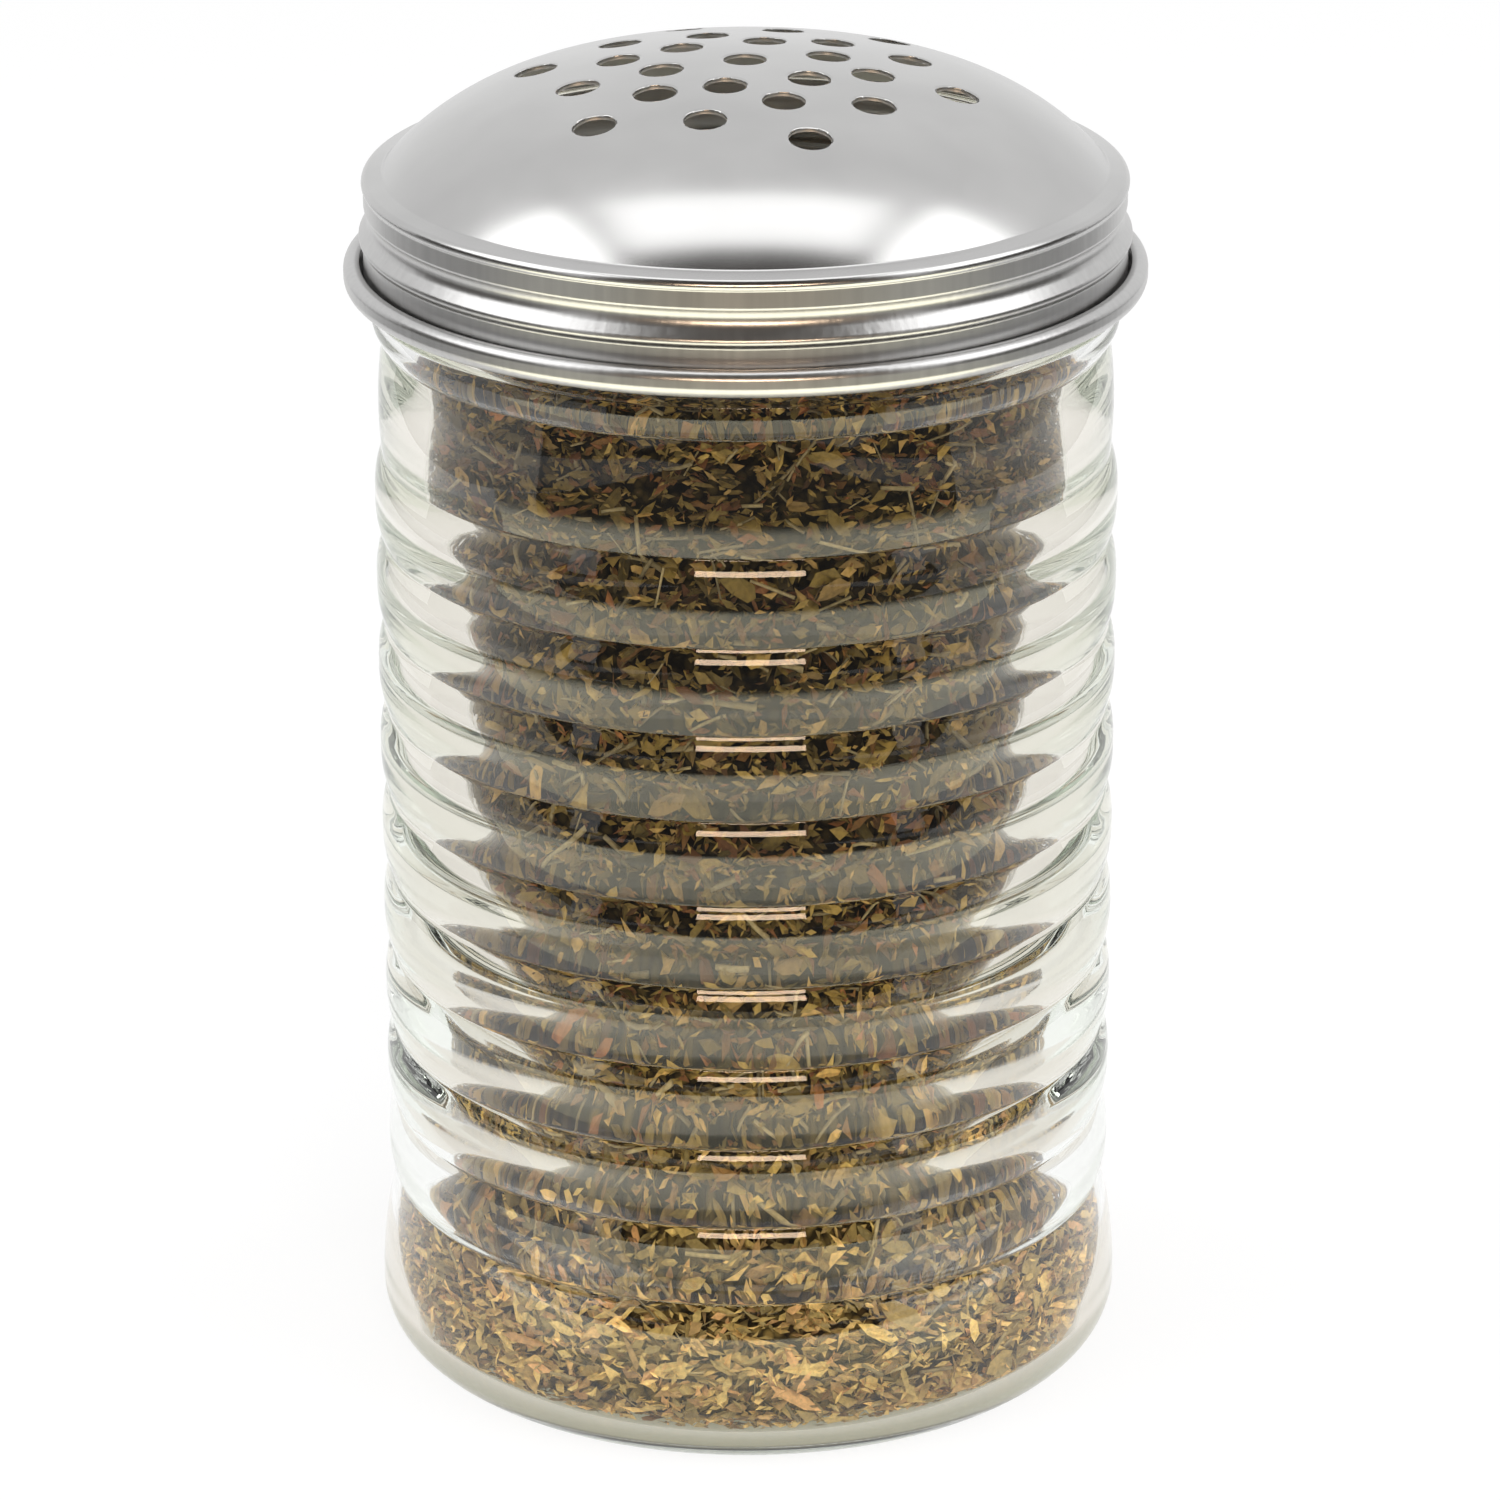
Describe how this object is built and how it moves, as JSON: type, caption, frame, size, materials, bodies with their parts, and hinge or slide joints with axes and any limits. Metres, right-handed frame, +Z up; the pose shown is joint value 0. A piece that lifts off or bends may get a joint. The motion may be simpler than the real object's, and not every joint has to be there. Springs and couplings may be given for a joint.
{
  "type": "glass table shaker",
  "caption": "Round ribbed glass jar with a domed, perforated stainless screw lid, filled with dried herb flakes to shake over food.",
  "frame": {"origin": "centre of the surface that the jar stands on", "axes": "+Z up along the jar's axis, towards the lid; X and Y level, with no front of its own"},
  "size_m": [0.08, 0.08, 0.136],
  "materials": {
    "clear_glass": "clear pressed soda-lime glass, faint green tint in the thick base",
    "stainless": "polished stainless sheet",
    "dried_herbs": "loose dried herb flakes and stems, olive and brown"
  },
  "bodies": {
    "jar": {"glass_jar": "clear_glass", "herb_fill": "dried_herbs"},
    "lid": {"shaker_lid": "stainless"}
  },
  "joints": [
    {"name": "lid_lift", "type": "slide", "parent": "jar", "child": "lid", "axis": [0, 0, 1], "range_m": [0, 0.06]}
  ]
}
